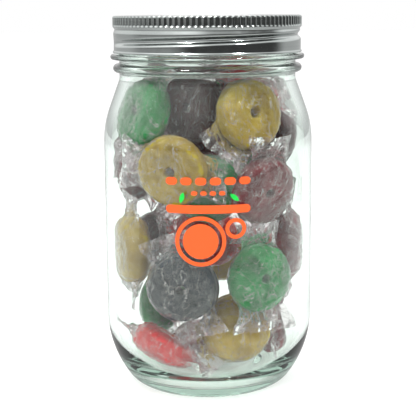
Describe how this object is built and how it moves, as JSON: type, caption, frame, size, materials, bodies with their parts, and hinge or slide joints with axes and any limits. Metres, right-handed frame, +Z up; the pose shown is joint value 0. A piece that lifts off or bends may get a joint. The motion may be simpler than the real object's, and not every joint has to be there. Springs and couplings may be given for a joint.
{
  "type": "coin bank jar",
  "caption": "Clear glass screw-top jar used as a coin bank, with a slotted two-piece metal lid, a printed front and a fill of film-wrapped ring sweets.",
  "frame": {"origin": "centre of the base, on the surface the jar stands on", "axes": "+Z up the jar's axis, -Y towards the printed front, +X to the right seen from the front"},
  "size_m": [0.08, 0.0801, 0.1417],
  "materials": {
    "clear_glass": "clear soda-lime glass, smooth and glossy, with a faint grey-green tint at its edges",
    "tin_plate": "bright rolled tin plate with a soft satin streak",
    "seal_compound": "soft matt sealing compound",
    "clear_film": "clear crinkled film with a sharp gloss",
    "candy_green": "translucent boiled sweet, smooth",
    "candy_yellow": "translucent boiled sweet, smooth",
    "candy_red": "translucent boiled sweet, smooth",
    "candy_maroon": "translucent boiled sweet, smooth",
    "candy_plum": "translucent boiled sweet, smooth",
    "candy_slate": "translucent boiled sweet, smooth",
    "orange_ink": "opaque screen-printed ink, smooth",
    "green_ink": "opaque screen-printed ink, smooth"
  },
  "bodies": {
    "jar": {"glass_jar": "clear_glass", "print_orange": "orange_ink", "print_green": "green_ink", "sweet_green_01": "candy_green", "sweet_green_06": "candy_green", "sweet_green_10": "candy_green", "sweet_green_16": "candy_green", "sweet_green_20": "candy_green", "sweet_green_24": "candy_green", "sweet_maroon_07": "candy_maroon", "sweet_maroon_13": "candy_maroon", "sweet_maroon_14": "candy_maroon", "sweet_maroon_15": "candy_maroon", "sweet_maroon_22": "candy_maroon", "sweet_maroon_27": "candy_maroon", "sweet_plum_03": "candy_plum", "sweet_plum_19": "candy_plum", "sweet_plum_23": "candy_plum", "sweet_red_04": "candy_red", "sweet_red_12": "candy_red", "sweet_red_17": "candy_red", "sweet_red_21": "candy_red", "sweet_red_26": "candy_red", "sweet_slate_09": "candy_slate", "sweet_yellow_02": "candy_yellow", "sweet_yellow_05": "candy_yellow", "sweet_yellow_08": "candy_yellow", "sweet_yellow_11": "candy_yellow", "sweet_yellow_18": "candy_yellow", "sweet_yellow_25": "candy_yellow", "wrapper_01": "clear_film", "wrapper_02": "clear_film", "wrapper_03": "clear_film", "wrapper_04": "clear_film", "wrapper_05": "clear_film", "wrapper_06": "clear_film", "wrapper_07": "clear_film", "wrapper_08": "clear_film", "wrapper_09": "clear_film", "wrapper_10": "clear_film", "wrapper_11": "clear_film", "wrapper_12": "clear_film", "wrapper_13": "clear_film", "wrapper_14": "clear_film", "wrapper_15": "clear_film", "wrapper_16": "clear_film", "wrapper_17": "clear_film", "wrapper_18": "clear_film", "wrapper_19": "clear_film", "wrapper_20": "clear_film", "wrapper_21": "clear_film", "wrapper_22": "clear_film", "wrapper_23": "clear_film", "wrapper_24": "clear_film", "wrapper_25": "clear_film", "wrapper_26": "clear_film", "wrapper_27": "clear_film"},
    "lid": {"slotted_disc": "tin_plate", "sealing_ring": "seal_compound"},
    "band": {"screw_band": "tin_plate"}
  },
  "joints": [
    {"name": "lid_lift", "type": "slide", "parent": "jar", "child": "lid", "axis": [0, 0, 1], "range_m": [0, 0.01588]},
    {"name": "band_turn", "type": "hinge", "parent": "lid", "child": "band", "pos_m": [0, 0, 0.1347], "axis": [0, 0, 1], "range_deg": [0, 900]}
  ],
  "couplings": [
    {"joint": "lid_lift", "follows": "band_turn", "m_per_rad": 0.0010106}
  ]
}
